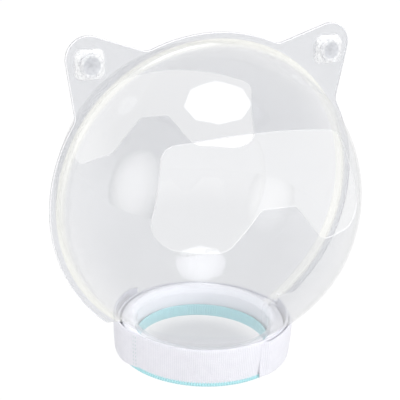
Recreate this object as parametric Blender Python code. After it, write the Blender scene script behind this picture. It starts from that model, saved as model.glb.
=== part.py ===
"""Clear ball-shaped Elizabethan collar with cat ears, for a cat.

Two identical thermoformed half balls meet on the plane y = 0 and are held by a press stud in each
ear and by a padded hook-and-loop collar round the neck. The front half faces -Y. The rear half is
the front half turned half a turn about Z. The origin is the centre of the collar's lower face.
Angles round the neck are measured from the front, -Y, and grow towards +X.
"""

import math

import bmesh
import bpy
from mathutils import Matrix, Vector

MM = 0.001

# Ball and its clear sheet
BALL_R = 85.0 * MM
SHEET = 0.8 * MM
BALL_Z = 94.5 * MM
GAP = 0.3 * MM
HALF_GAP = GAP / 2
BALL_SEGMENTS = 56
BALL_RINGS = 28

# Flat rim that joins the halves, with the ears on it
RIM_R = 1.076 * BALL_R
RIM_HOLE_R = BALL_R - SHEET / 2
RIM_FOOT_Z = 24.8 * MM
EAR_ROUND_R = 0.142 * BALL_R
EAR_PEAK = (1.009 * BALL_R, 1.166 * BALL_R)
EAR_INNER_ANGLE = math.radians(65.3)
EAR_OUTER_ANGLE = math.radians(32.3)
EAR_ROOT_R = 0.09 * BALL_R

# Face opening, as its right half on the X-Z plane: corner x, corner z, rounding radius
OPENING_TOP = 0.648 * BALL_R
OPENING_ARCH_R = 1.9 * BALL_R
OPENING_CORNER = (0.585 * BALL_R, 0.560 * BALL_R, 0.13 * BALL_R)
OPENING_FOOT = (0.722 * BALL_R, 0.006 * BALL_R, 0.13 * BALL_R)
NOSE_FOOT = (0.318 * BALL_R, 0.008 * BALL_R, 0.12 * BALL_R)
NOSE_SHOULDER = (0.108 * BALL_R, 0.256 * BALL_R, 0.06 * BALL_R)

# Neck spigot, the short tube under the ball
SPIGOT_R = 39.5 * MM
SPIGOT_FOOT_Z = 1.3 * MM
NECK_FILLET_R = 4.0 * MM

# Press studs, in a square pocket in each ear
SNAP_X = 0.82 * BALL_R
SNAP_Z = BALL_Z + 0.922 * BALL_R
POCKET_SIDE = 16.4 * MM
POCKET_DEPTH = 2.2 * MM
POCKET_DRAFT = 0.86
CAP_R = 6.1 * MM
CAP_T = 1.3 * MM
POST_R = 1.1 * MM
RIVET_R = 1.75 * MM
POST_HOLE_R = 1.45 * MM
SNAP_BASE_R = 5.0 * MM
SNAP_BASE_T = 0.7 * MM
SOCKET_WALL_R = (3.0 * MM, 4.4 * MM)
STUD_R = 2.6 * MM
SNAP_SEGMENTS = 20

# Collar layers, inner and outer radius of each
BINDING_R = (37.4 * MM, 47.2 * MM)
BINDING_T = 1.0 * MM
BINDING_TOP_Z = 9.0 * MM
FOAM_R = (SPIGOT_R + GAP, 45.9 * MM)
FOAM_TOP_Z = 19.5 * MM
STRAP_R = (47.5 * MM, 49.3 * MM)
HOOK_R = (49.6 * MM, 50.3 * MM)
TAIL_R = (50.6 * MM, 52.2 * MM)
STRAP_Z = (1.0 * MM, 22.6 * MM)
HOOK_MARGIN = 2.0 * MM

# Where the collar pieces start and stop, in degrees from the front of their own half
SEAM = 90.0 - math.degrees(HALF_GAP / BINDING_R[0])
RAMP_START = 58.0
RAMP_END = 84.0
TAIL_START = 90.0 + math.degrees(HALF_GAP / TAIL_R[0])
FRONT_TAIL_END = 150.0
REAR_TAIL_END = 164.0
FRONT_TAIL_RISE = 1.0 * MM
REAR_TAIL_RISE = -0.6 * MM
HOOK_START = 98.0
HOOK_END_MARGIN = 3.0
DEGREES_PER_STEP = 6.0

COLOURS = {
    "clear_sheet": ((0.90, 0.92, 0.94, 0.25), 0.05),
    "clear_snap": ((0.93, 0.94, 0.95, 0.45), 0.12),
    "white_loop": ((0.90, 0.89, 0.91, 1.0), 0.90),
    "white_hook": ((0.86, 0.86, 0.88, 1.0), 0.60),
    "white_foam": ((0.88, 0.88, 0.90, 1.0), 0.85),
    "teal_knit": ((0.46, 0.76, 0.78, 1.0), 0.85),
}


def material(name):
    """One Principled material per finish, made the first time it is asked for."""
    found = bpy.data.materials.get(name)
    if found:
        return found
    colour, roughness = COLOURS[name]
    made = bpy.data.materials.new(name)
    made.use_nodes = True
    shader = made.node_tree.nodes["Principled BSDF"]
    shader.inputs["Base Color"].default_value = (*colour[:3], 1.0)
    shader.inputs["Alpha"].default_value = colour[3]
    shader.inputs["Roughness"].default_value = roughness
    shader.inputs["Metallic"].default_value = 0.0
    return made


def add_object(name, bm, finish=None):
    """Puts a bmesh in the scene as an object with outward faces."""
    bmesh.ops.recalc_face_normals(bm, faces=bm.faces)
    mesh = bpy.data.meshes.new(name)
    bm.to_mesh(mesh)
    bm.free()
    obj = bpy.data.objects.new(name, mesh)
    bpy.context.scene.collection.objects.link(obj)
    if finish:
        mesh.materials.append(material(finish))
    return obj


def hide_tool(obj):
    """Marks a shape that only cuts or joins another."""
    obj.hide_render = True
    obj.display_type = "WIRE"
    return obj


def combine(obj, tool, operation, solver="EXACT"):
    """Adds a Boolean of obj with tool, which becomes a hidden guide."""
    step = obj.modifiers.new(tool.name, "BOOLEAN")
    step.operation = operation
    step.solver = solver
    step.object = hide_tool(tool)


def arc(centre, radius, start, end, steps):
    """Points on a circle from one angle to another, both included."""
    angles = [start + (end - start) * i / steps for i in range(steps + 1)]
    return [(centre[0] + radius * math.cos(a), centre[1] + radius * math.sin(a)) for a in angles]


def rounded(before, corner, after, radius, steps=5):
    """The corner of an outline replaced by an arc that touches both of its sides."""
    corner = Vector(corner)
    to_before = (Vector(before) - corner).normalized()
    to_after = (Vector(after) - corner).normalized()
    half_angle = to_before.angle(to_after) / 2
    reach = radius / math.tan(half_angle)
    centre = corner + (to_before + to_after).normalized() * radius / math.sin(half_angle)
    first = corner + to_before * reach - centre
    last = corner + to_after * reach - centre
    turn = first.angle_signed(last)
    points = []
    for i in range(steps + 1):
        spoke = first.copy()
        spoke.rotate(Matrix.Rotation(-turn * i / steps, 2))
        points.append(tuple(centre + spoke))
    return points


def mirrored_outline(right_half):
    """Closes an outline whose right half runs from its top to its bottom."""
    left_half = [(-x, z) for x, z in reversed(right_half) if abs(x) > 1e-9]
    return right_half + left_half


def plate(name, outline, front_y, back_y, front_scale=1.0, centre=(0.0, 0.0)):
    """An X-Z outline extruded along Y, its front face scaled about a centre for draft."""
    bm = bmesh.new()
    face = bm.faces.new([bm.verts.new((x, back_y, z)) for x, z in outline])
    grown = bmesh.ops.extrude_face_region(bm, geom=[face])["geom"]
    for vert in grown:
        if isinstance(vert, bmesh.types.BMVert):
            vert.co.x = centre[0] + (vert.co.x - centre[0]) * front_scale
            vert.co.z = centre[1] + (vert.co.z - centre[1]) * front_scale
            vert.co.y = front_y
    return add_object(name, bm)


def lathe_z(name, profile, segments=BALL_SEGMENTS, finish=None):
    """Turns an (r, z) profile, which starts and ends on the axis, about Z."""
    bm = bmesh.new()
    verts = [bm.verts.new((0, -r, z)) for r, z in profile]
    edges = [bm.edges.new(pair) for pair in zip(verts, verts[1:])]
    bmesh.ops.spin(bm, geom=verts + edges, cent=(0, 0, 0), axis=(0, 0, 1),
                   angle=math.tau, steps=segments)
    bmesh.ops.remove_doubles(bm, verts=bm.verts, dist=1e-6)
    return add_object(name, bm, finish)


def lathe_y(name, profile, finish):
    """Turns a closed (r, y) profile, or one that starts and ends on the axis, about Y."""
    bm = bmesh.new()
    verts = [bm.verts.new((r, y, 0)) for r, y in profile]
    edges = [bm.edges.new(pair) for pair in zip(verts, verts[1:])]
    if profile[0][0] > 0:
        edges.append(bm.edges.new((verts[-1], verts[0])))
    bmesh.ops.spin(bm, geom=verts + edges, cent=(0, 0, 0), axis=(0, 1, 0),
                   angle=math.tau, steps=SNAP_SEGMENTS)
    bmesh.ops.remove_doubles(bm, verts=bm.verts, dist=1e-6)
    return add_object(name, bm, finish)


def sweep(name, section, start, end, finish):
    """Bridges the loops that section(degrees) gives round the neck into a closed band."""
    steps = max(2, round(abs(end - start) / DEGREES_PER_STEP))
    bm = bmesh.new()
    loops = []
    for i in range(steps + 1):
        degrees = start + (end - start) * i / steps
        angle = math.radians(degrees)
        points = [(r * math.sin(angle), -r * math.cos(angle), z) for r, z in section(degrees)]
        loops.append([bm.verts.new(p) for p in points])
    for here, there in zip(loops, loops[1:]):
        for i in range(len(here)):
            following = (i + 1) % len(here)
            bm.faces.new((here[i], here[following], there[following], there[i]))
    bm.faces.new(loops[0])
    bm.faces.new(loops[-1])
    return add_object(name, bm, finish)


# --- The clear half ball -----------------------------------------------------------------------


def opening_outline():
    """The face opening: an arched top, round corners and a nose-shaped rise in the lower edge."""
    arch_centre = (0.0, OPENING_TOP - OPENING_ARCH_R)
    corner_x, corner_z, corner_r = OPENING_CORNER
    arch_end = math.asin((corner_x - corner_r) / OPENING_ARCH_R)
    half = arc(arch_centre, OPENING_ARCH_R, math.pi / 2, math.pi / 2 - arch_end, 4)
    half += rounded(half[-1], (corner_x, corner_z), OPENING_FOOT[:2], corner_r)
    half += rounded(OPENING_CORNER[:2], OPENING_FOOT[:2], NOSE_FOOT[:2], OPENING_FOOT[2])
    half += rounded(OPENING_FOOT[:2], NOSE_FOOT[:2], NOSE_SHOULDER[:2], NOSE_FOOT[2])
    half += rounded(NOSE_FOOT[:2], NOSE_SHOULDER[:2], (0.0, NOSE_SHOULDER[1]), NOSE_SHOULDER[2])
    return [(x, z + BALL_Z) for x, z in mirrored_outline(half)]


def rim_outline():
    """The C-shaped rim with its ears, open where the neck passes."""
    inner_root = (RIM_R * math.cos(EAR_INNER_ANGLE), RIM_R * math.sin(EAR_INNER_ANGLE))
    outer_root = (RIM_R * math.cos(EAR_OUTER_ANGLE), RIM_R * math.sin(EAR_OUTER_ANGLE))
    along_top = (inner_root[0] - inner_root[1], inner_root[1] + inner_root[0])
    down_side = (outer_root[0] + outer_root[1], outer_root[1] - outer_root[0])
    foot_angle = math.asin((RIM_FOOT_Z - BALL_Z) / RIM_R)
    hole_foot_angle = math.asin((RIM_FOOT_Z - BALL_Z) / RIM_HOLE_R)
    root_turn = math.radians(3.0)
    half = arc((0, 0), RIM_R, math.pi / 2, EAR_INNER_ANGLE + root_turn, 5)
    half += rounded(along_top, inner_root, EAR_PEAK, EAR_ROOT_R, 3)
    half += rounded(inner_root, EAR_PEAK, outer_root, EAR_ROUND_R, 10)
    half += rounded(EAR_PEAK, outer_root, down_side, EAR_ROOT_R, 3)
    half += arc((0, 0), RIM_R, EAR_OUTER_ANGLE - root_turn, foot_angle, 18)
    hole = arc((0, 0), RIM_HOLE_R, hole_foot_angle, math.pi - hole_foot_angle, 44)
    left = [(-x, z) for x, z in reversed(half[1:])]
    return [(x, z + BALL_Z) for x, z in half + hole + left]


def neck_profile(offset, foot_z):
    """The (r, z) profile of the neck, offset inwards from the outer face of the sheet."""
    fillet_r = SPIGOT_R + NECK_FILLET_R
    drop = math.sqrt((BALL_R + NECK_FILLET_R) ** 2 - fillet_r ** 2)
    fillet_z = BALL_Z - drop
    towards_ball = math.atan2(drop, -fillet_r)
    curve = arc((fillet_r, fillet_z), NECK_FILLET_R + offset, math.pi, towards_ball, 4)
    inside = (0.8 * SPIGOT_R, fillet_z + 3 * NECK_FILLET_R)
    return [(0, foot_z), (SPIGOT_R - offset, foot_z), *curve, inside, (0, inside[1])]


def square_outline(side, centre):
    """A square with round corners."""
    half = side / 2
    corners = [(half, half), (half, -half), (-half, -half), (-half, half)]
    points = []
    for i, corner in enumerate(corners):
        points += rounded(corners[i - 1], corner, corners[(i + 1) % 4], side / 4, 3)
    return [(centre[0] + x, centre[1] + z) for x, z in points]


def cylinder_y(name, radius, centre, depth):
    """A short cylinder along Y that only cuts."""
    bm = bmesh.new()
    bmesh.ops.create_cone(bm, cap_ends=True, segments=SNAP_SEGMENTS,
                          radius1=radius, radius2=radius, depth=depth)
    bmesh.ops.rotate(bm, verts=bm.verts, matrix=Matrix.Rotation(math.pi / 2, 3, "X"))
    bmesh.ops.translate(bm, verts=bm.verts, vec=(centre[0], 0, centre[1]))
    return add_object(name, bm)


def ball(name, radius):
    """A ball with its poles on the Y axis."""
    bm = bmesh.new()
    bmesh.ops.create_uvsphere(bm, u_segments=BALL_SEGMENTS, v_segments=BALL_RINGS, radius=radius)
    bmesh.ops.rotate(bm, verts=bm.verts, matrix=Matrix.Rotation(math.pi / 2, 3, "X"))
    bmesh.ops.translate(bm, verts=bm.verts, vec=(0, 0, BALL_Z))
    return add_object(name, bm)


def half_shell_mesh():
    """The front half ball with rim, ears, snap pockets, face opening and neck spigot."""
    beyond = 3 * MM
    shell = hide_tool(ball("shell_blank", BALL_R))
    combine(shell, lathe_z("neck_outside", neck_profile(0.0, SPIGOT_FOOT_Z)), "UNION")
    rim_front = -(HALF_GAP + SHEET)
    combine(shell, plate("rim_and_ears", rim_outline(), rim_front, beyond), "UNION")
    snap_sites = {"left": (-SNAP_X, SNAP_Z), "right": (SNAP_X, SNAP_Z)}
    for side, site in snap_sites.items():
        block = square_outline(POCKET_SIDE, site)
        combine(shell, plate(f"{side}_pocket_block", block, rim_front - POCKET_DEPTH,
                             rim_front + SHEET / 2, POCKET_DRAFT, site), "UNION")
    combine(shell, ball("ball_inside", BALL_R - SHEET), "DIFFERENCE")
    combine(shell, lathe_z("neck_inside", neck_profile(SHEET, -beyond)), "DIFFERENCE")
    combine(shell, plate("face_opening", opening_outline(), -BALL_R - beyond, -BALL_R / 4),
            "DIFFERENCE")
    for side, site in snap_sites.items():
        hollow = square_outline(POCKET_SIDE - 2 * SHEET, site)
        combine(shell, plate(f"{side}_pocket_hollow", hollow, rim_front - POCKET_DEPTH + SHEET,
                             HALF_GAP, POCKET_DRAFT, site), "DIFFERENCE")
        combine(shell, cylinder_y(f"{side}_post_hole", POST_HOLE_R, site, 12 * MM), "DIFFERENCE")
    bm = bmesh.new()
    bmesh.ops.create_cube(bm, size=4 * BALL_R)
    bmesh.ops.translate(bm, verts=bm.verts, vec=(0, 2 * BALL_R - HALF_GAP, BALL_Z))
    # The exact solver loses the whole shell on this last cut, so it uses the manifold one.
    combine(shell, add_object("rear_half_space", bm), "DIFFERENCE", "MANIFOLD")
    bpy.context.view_layer.update()
    graph = bpy.context.evaluated_depsgraph_get()
    mesh = bpy.data.meshes.new_from_object(shell.evaluated_get(graph))
    mesh.materials.clear()
    mesh.materials.append(material("clear_sheet"))
    return mesh


# --- Press studs -------------------------------------------------------------------------------


def cap_profile():
    """A domed cap with a post whose end is spread like a rivet, y = 0 at the sheet's front."""
    dome = [(0.0, -GAP - CAP_T), (0.7 * CAP_R, -GAP - 0.9 * CAP_T), (CAP_R, -GAP - 0.45 * CAP_T)]
    post_end = SHEET + GAP + SNAP_BASE_T + GAP
    rivet = [(POST_R, -GAP), (POST_R, post_end), (RIVET_R, post_end),
             (0.8 * RIVET_R, post_end + 0.5 * MM), (0.0, post_end + 0.6 * MM)]
    return dome + [(CAP_R, -GAP)] + rivet


def socket_profile():
    """A base disc and the ring wall that grips the stud, y = 0 at the disc's front."""
    inner, outer = SOCKET_WALL_R
    wall_end = SNAP_BASE_T + 1.9 * MM
    return [(POST_HOLE_R, 0), (SNAP_BASE_R, 0), (SNAP_BASE_R, SNAP_BASE_T),
            (outer, SNAP_BASE_T), (outer, wall_end), (inner, wall_end),
            (inner, SNAP_BASE_T), (POST_HOLE_R, SNAP_BASE_T)]


def stud_profile():
    """A base disc and the hollow stud with a slight bead, y = 0 at the disc's front."""
    stud_end = SNAP_BASE_T + 1.6 * MM
    recess = SNAP_BASE_T + GAP / 2
    bore = RIVET_R + GAP / 2
    return [(POST_HOLE_R, 0), (SNAP_BASE_R, 0), (SNAP_BASE_R, SNAP_BASE_T),
            (STUD_R - 0.2 * MM, SNAP_BASE_T), (STUD_R, stud_end - 0.6 * MM),
            (STUD_R - 0.3 * MM, stud_end), (bore, stud_end), (bore, recess),
            (POST_HOLE_R, recess)]


def press_studs(half, socket_side, stud_side):
    """A cap and socket in the ear at the half's own -X, and a cap and stud in its other ear."""
    sheet_front = -(HALF_GAP + SHEET + POCKET_DEPTH)
    base_front = sheet_front + SHEET + GAP
    pieces = []
    for x, side, grip, profile in ((-SNAP_X, socket_side, "socket", socket_profile()),
                                   (SNAP_X, stud_side, "stud", stud_profile())):
        cap = lathe_y(f"{half}_{side}_snap_cap", cap_profile(), "clear_snap")
        cap.location = (x, sheet_front, SNAP_Z)
        mate = lathe_y(f"{half}_{side}_snap_{grip}", profile, "clear_snap")
        mate.location = (x, base_front, SNAP_Z)
        pieces += [cap, mate]
    return pieces


# --- Padded collar -----------------------------------------------------------------------------


def rectangle(radii, heights):
    """A rectangular (r, z) section."""
    return [(radii[0], heights[0]), (radii[1], heights[0]),
            (radii[1], heights[1]), (radii[0], heights[1])]


def binding_section(_degrees):
    """The knit binding folded under the spigot and the foam."""
    inner, outer = BINDING_R
    return [(inner, BINDING_TOP_Z), (inner, 0), (outer, 0), (outer, BINDING_TOP_Z),
            (outer - BINDING_T, BINDING_TOP_Z), (outer - BINDING_T, BINDING_T),
            (inner + BINDING_T, BINDING_T), (inner + BINDING_T, BINDING_TOP_Z)]


def foam_section(_degrees):
    """The foam strip, chamfered under the ball's fillet."""
    inner, outer = FOAM_R
    chamfer = 2.8 * MM
    return [(inner, SPIGOT_FOOT_Z), (outer, SPIGOT_FOOT_Z), (outer, FOAM_TOP_Z),
            (inner + chamfer, FOAM_TOP_Z), (inner, FOAM_TOP_Z - 1.5 * chamfer)]


def strap_section(degrees):
    """The strap on its own half, which ramps outwards towards the tail, at negative angles."""
    ramp = (-degrees - RAMP_START) / (RAMP_END - RAMP_START)
    ramp = min(1.0, max(0.0, ramp))
    ramp = ramp * ramp * (3 - 2 * ramp)
    radii = [plain + (lifted - plain) * ramp for plain, lifted in zip(STRAP_R, TAIL_R)]
    return rectangle(radii, STRAP_Z)


def tail_section(end, rise, radii, margin):
    """A section for the tail, or for the hook patch inside it, that climbs by rise at its end."""
    def section(degrees):
        climb = rise * (-degrees - TAIL_START) / (end - TAIL_START)
        heights = (STRAP_Z[0] + climb + margin, STRAP_Z[1] + climb - margin)
        return rectangle(radii, heights)
    return section


def collar_pieces(half):
    """The foam, binding and strap that stay with one half."""
    return [
        sweep(f"{half}_edge_binding", binding_section, -SEAM, SEAM, "teal_knit"),
        sweep(f"{half}_foam_pad", foam_section, -SEAM, SEAM, "white_foam"),
        sweep(f"{half}_strap", strap_section, -SEAM, SEAM, "white_loop"),
    ]


def tail_pieces(half, tail_end, tail_rise):
    """The strap's free end and the hook patch inside it, which peel off together."""
    hook_end = tail_end - HOOK_END_MARGIN
    tail = tail_section(tail_end, tail_rise, TAIL_R, 0.0)
    hook = tail_section(tail_end, tail_rise, HOOK_R, HOOK_MARGIN)
    return [
        sweep(f"{half}_strap_tail", tail, -TAIL_START, -tail_end, "white_loop"),
        sweep(f"{half}_hook_patch", hook, -HOOK_START, -hook_end, "white_hook"),
    ]


# --- Assembly ----------------------------------------------------------------------------------


def empty(name, x=0.0, turn=0.0, parent=None):
    """A frame that pieces hang from."""
    frame = bpy.data.objects.new(name, None)
    frame.location.x = x
    frame.rotation_euler.z = turn
    frame.parent = parent
    bpy.context.scene.collection.objects.link(frame)
    return frame


def half_collar(half, turn, shell_mesh, snap_sides, tail_end, tail_rise):
    """One half of the collar, hung from a frame that is turned about Z."""
    frame = empty(f"{half}_half", turn=turn)
    shell = bpy.data.objects.new(f"{half}_shell", shell_mesh)
    bpy.context.scene.collection.objects.link(shell)
    for piece in [shell, *press_studs(half, *snap_sides), *collar_pieces(half)]:
        piece.parent = frame
    fold = empty(f"{half}_tail_fold", x=-TAIL_R[1], parent=frame)
    for piece in tail_pieces(half, tail_end, tail_rise):
        piece.parent = fold
        piece.matrix_parent_inverse = Matrix.Translation((TAIL_R[1], 0, 0))


def main():
    """Builds the whole collar in an empty scene."""
    for obj in list(bpy.data.objects):
        bpy.data.objects.remove(obj)
    mesh = half_shell_mesh()
    half_collar("front", 0.0, mesh, ("left", "right"), FRONT_TAIL_END, FRONT_TAIL_RISE)
    half_collar("rear", math.pi, mesh, ("right", "left"), REAR_TAIL_END, REAR_TAIL_RISE)


main()
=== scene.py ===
"""Looks of a clear ball-shaped Elizabethan collar with cat ears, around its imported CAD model.

Two identical clear half balls meet on the plane y = 0. The front one faces -Y. Everything that
belongs to the rear half is the front half's piece turned half a turn about Z, the neck's axis.
Angles round the neck are in degrees from the front, -Y, and grow towards +X.
"""

from __future__ import annotations

import logging
import math
from collections.abc import Callable, Sequence
from dataclasses import dataclass
from enum import Enum

import bpy
from bpy.types import Material, Node, NodeSocket, NodeTree, Object, World
from mathutils import Matrix, Vector

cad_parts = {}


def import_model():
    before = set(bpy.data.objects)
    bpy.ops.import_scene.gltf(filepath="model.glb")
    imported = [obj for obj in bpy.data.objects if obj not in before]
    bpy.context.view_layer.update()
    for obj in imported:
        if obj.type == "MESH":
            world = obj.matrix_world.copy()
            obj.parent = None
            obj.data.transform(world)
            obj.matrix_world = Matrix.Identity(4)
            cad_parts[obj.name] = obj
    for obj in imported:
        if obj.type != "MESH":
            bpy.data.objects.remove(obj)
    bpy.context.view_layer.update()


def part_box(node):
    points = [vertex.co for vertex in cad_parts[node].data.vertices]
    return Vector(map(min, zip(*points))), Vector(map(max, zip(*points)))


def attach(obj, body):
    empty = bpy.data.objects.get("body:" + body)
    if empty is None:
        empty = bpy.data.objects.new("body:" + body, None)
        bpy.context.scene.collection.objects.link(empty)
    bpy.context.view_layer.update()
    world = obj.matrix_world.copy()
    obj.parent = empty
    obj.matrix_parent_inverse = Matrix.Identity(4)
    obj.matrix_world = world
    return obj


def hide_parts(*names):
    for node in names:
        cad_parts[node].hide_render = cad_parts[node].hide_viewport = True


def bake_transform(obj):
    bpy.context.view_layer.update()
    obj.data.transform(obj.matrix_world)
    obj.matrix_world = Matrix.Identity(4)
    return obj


LOG = logging.getLogger("collar")
MM = 0.001
HALF_TURN = Matrix.Rotation(math.pi, 4, "Z")

Pair = tuple[float, float]
Colour = tuple[float, float, float]
Reshape = Callable[[float, float, float], Pair]


class Slot(Enum):
    """The record's material slots."""

    SHEET = "clear_sheet"
    SNAP = "clear_snap"
    LOOP = "white_loop"
    HOOK = "white_hook"
    FOAM = "white_foam"
    KNIT = "teal_knit"


class Finish(Enum):
    """The clear half's finishes, in the order of its materials."""

    FACE = 0
    CUT = 1
    POCKET = 2
    BEND = 3
    OUTLINE = 4
    NECK = 5


class Half(Enum):
    """The two halves, by the body that each one is."""

    FRONT = "front"
    REAR = "rear"

    @property
    def body(self) -> str:
        """The CAD body of this half."""
        return f"{self.value}_half"

    @property
    def tail_body(self) -> str:
        """The CAD body of this half's free tail."""
        return f"{self.value}_tail"

    @property
    def turn(self) -> Matrix:
        """What carries a piece modelled in front to this half."""
        return Matrix.Identity(4) if self is Half.FRONT else HALF_TURN


# --- Shader maths ---


def operator(operation: str, swapped: bool = False) -> Callable[[Number, Number | float], Number]:
    """A method that gives the result of a Math node added for two numbers."""

    def method(self: Number, other: Number | float) -> Number:
        """The operation on both."""
        return self.apply(operation, other, swapped)

    return method


class Number:
    """A number socket that adds Math nodes when it is used in an expression."""

    def __init__(self, tree: NodeTree, socket: NodeSocket) -> None:
        """Wraps a socket of a tree."""
        self.tree = tree
        self.socket = socket

    def apply(self, operation: str, other: Number | float = 0.0, swapped: bool = False) -> Number:
        """The result of one added Math node, on this number and another."""
        node = self.tree.nodes.new("ShaderNodeMath")
        node.operation = operation
        mine, theirs = (1, 0) if swapped else (0, 1)
        self.tree.links.new(self.socket, node.inputs[mine])
        if isinstance(other, Number):
            self.tree.links.new(other.socket, node.inputs[theirs])
        else:
            node.inputs[theirs].default_value = other
        return Number(self.tree, node.outputs[0])

    __add__ = __radd__ = operator("ADD")
    __sub__ = operator("SUBTRACT")
    __rsub__ = operator("SUBTRACT", swapped=True)
    __mul__ = __rmul__ = operator("MULTIPLY")
    __pow__ = operator("POWER")

    def wave(self, pitch: float) -> Number:
        """A wave from 0 to 1 that repeats every pitch."""
        return (self * (math.tau / pitch)).apply("SINE") * 0.5 + 0.5


class Mixer:
    """Builds the node tree of one material, or of the world."""

    def __init__(self, owner: Material | World) -> None:
        """Empties the owner's node tree."""
        self.owner = owner
        owner.use_nodes = True
        self.tree: NodeTree = owner.node_tree
        self.tree.nodes.clear()

    @classmethod
    def material(cls, name: str) -> Mixer:
        """Starts an empty material of this name."""
        return cls(bpy.data.materials.new(name))

    def node(self, kind: str, settings: dict | None = None, inputs: dict | None = None) -> Node:
        """Adds one node.

        Args:
            kind: The node's type, without its ShaderNode prefix.
            settings: Its properties, set first.
            inputs: Values, sockets or Numbers, by input name or index.

        Returns:
            The node.
        """
        made = self.tree.nodes.new(f"ShaderNode{kind}")
        for key, value in (settings or {}).items():
            setattr(made, key, value)
        for key, value in (inputs or {}).items():
            source = value.socket if isinstance(value, Number) else value
            if isinstance(source, NodeSocket):
                self.tree.links.new(source, made.inputs[key])
            else:
                made.inputs[key].default_value = source
        return made

    def number(self, socket: NodeSocket) -> Number:
        """A socket of this tree, ready for expressions."""
        return Number(self.tree, socket)

    def mix_shader(self, share: Number | float, first: Node, second: Node) -> Node:
        """Two shaders mixed, with share of the second."""
        return self.node("MixShader", inputs={0: share, 1: first.outputs[0], 2: second.outputs[0]})

    def mix_colour(self, share: Number | float, first: Colour, second: Colour) -> NodeSocket:
        """Two colours mixed, with share of the second."""
        node = self.node("Mix", {"data_type": "RGBA"}, {0: share, 6: (*first, 1.0), 7: (*second, 1.0)})
        return node.outputs[2]

    def noise(self, vector: NodeSocket, scale: float, detail: float = 2.0) -> Number:
        """A noise pattern from 0 to 1."""
        node = self.node("TexNoise", inputs={"Vector": vector, "Scale": scale, "Detail": detail})
        return self.number(node.outputs["Fac"])

    def bump(self, height: Number, depth: float, strength: float) -> NodeSocket:
        """A normal that stands for this height, depth metres deep."""
        node = self.node("Bump", inputs={"Height": height, "Distance": depth, "Strength": strength})
        return node.outputs["Normal"]

    def object_places(self) -> NodeSocket:
        """Places on the piece, in metres."""
        return self.node("TexCoord").outputs["Object"]

    def surface_places(self) -> tuple[NodeSocket, Number, Number]:
        """Places along a band's own surface in millimetres: both, then length and height."""
        places = self.node("UVMap", {"uv_map": Band.UV_NAME}).outputs["UV"]
        parts = self.node("SeparateXYZ", inputs={"Vector": places})
        return places, self.number(parts.outputs["X"]), self.number(parts.outputs["Y"])

    def facing(self) -> Number:
        """From 0 where a face is seen square on to 1 where it is seen edge on."""
        node = self.node("LayerWeight", inputs={"Blend": 0.5})
        return self.number(node.outputs["Facing"])

    def done(self, surface: Node) -> Material:
        """Connects the surface and gives the finished material."""
        self.node("OutputMaterial", inputs={"Surface": surface.outputs[0]})
        return self.owner


# --- Finishes ---


@dataclass(frozen=True)
class ClearPlastic:
    """Clear glossy sheet. Each face dims what is behind it and mirrors more when seen edge on."""

    name: str
    tint: Colour = (0.928, 0.931, 0.939)
    edge_tint: Colour = (0.985, 0.985, 0.985)
    milk: float = 0.04
    milk_at_edge: float = 0.06
    milk_colour: Colour = (0.90, 0.90, 0.91)
    clouds: float = 0.0
    gloss_roughness: float = 0.03
    mirror: float = 0.078
    mirror_at_edge: float = 0.30
    ripple: float = 0.06
    ripple_scale: float = 38.0
    ripple_depth: float = 1.2 * MM
    cloud_scale: float = 420.0

    def build(self) -> Material:
        """The finished material."""
        mixer = Mixer.material(self.name)
        places = mixer.object_places()
        facing = mixer.facing()
        normal = mixer.bump(mixer.noise(places, self.ripple_scale, 1.0), self.ripple_depth, self.ripple)
        square_on = mixer.node("BsdfTransparent", inputs={"Color": (*self.tint, 1.0)})
        grazing = mixer.node("BsdfTransparent", inputs={"Color": (*self.edge_tint, 1.0)})
        clear = mixer.mix_shader(facing ** 2, square_on, grazing)
        milk = mixer.node("BsdfPrincipled", inputs={"Base Color": (*self.milk_colour, 1.0),
                                                    "Roughness": 0.5})
        gloss = mixer.node("BsdfAnisotropic", inputs={"Roughness": self.gloss_roughness,
                                                     "Normal": normal})
        share = facing ** 3 * self.milk_at_edge + self.milk
        if self.clouds:
            share = share + (mixer.noise(places, self.cloud_scale, 3.0) - 0.5) * self.clouds
        cloudy = mixer.mix_shader(share, clear, milk)
        mirror = facing ** 5 * (self.mirror_at_edge - self.mirror) + self.mirror
        return mixer.done(mixer.mix_shader(mirror, cloudy, gloss))


@dataclass(frozen=True)
class Textile:
    """A matt surface of two colours, whose pattern also gives its relief."""

    name: str
    light: Colour
    shade: Colour

    def matt(self, mixer: Mixer, towards_shade: Number, relief: Number, depth: float,
             strength: float, inputs: dict) -> Material:
        """The finished material, with a relief depth metres deep and these other inputs."""
        colour = mixer.mix_colour(towards_shade, self.light, self.shade)
        normal = mixer.bump(relief, depth, strength)
        return mixer.done(mixer.node("BsdfPrincipled", inputs={
            "Base Color": colour, "Normal": normal, **inputs}))


@dataclass(frozen=True)
class LoopTape(Textile):
    """White brushed loop tape: fine upright ribs under a soft pile, with painted shade where they are
    low.
    """

    light: Colour = (0.88, 0.875, 0.915)
    shade: Colour = (0.62, 0.62, 0.68)
    rib_pitch: float = 1.15
    row_pitch: float = 0.95
    depth: float = 0.00035

    def build(self) -> Material:
        """The finished material."""
        mixer = Mixer.material(self.name)
        places, length, height = mixer.surface_places()
        pile = mixer.noise(places, 2.4, 4.0)
        blotches = mixer.noise(places, 0.22, 2.0)
        weave = length.wave(self.rib_pitch) * 0.45 + height.wave(self.row_pitch) * 0.18
        relief = weave + pile * 0.85
        # Painted shade: the colour goes darker where the ribs and the pile are low, with random
        # blotches on top.
        shade = (1.0 - relief * 0.66) * 0.7 + blotches * 0.3
        return self.matt(mixer, shade, relief, self.depth, 0.7, {
            "Roughness": 0.92, "Sheen Weight": 0.25, "Sheen Roughness": 0.5, "Specular IOR Level": 0.2})


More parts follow.
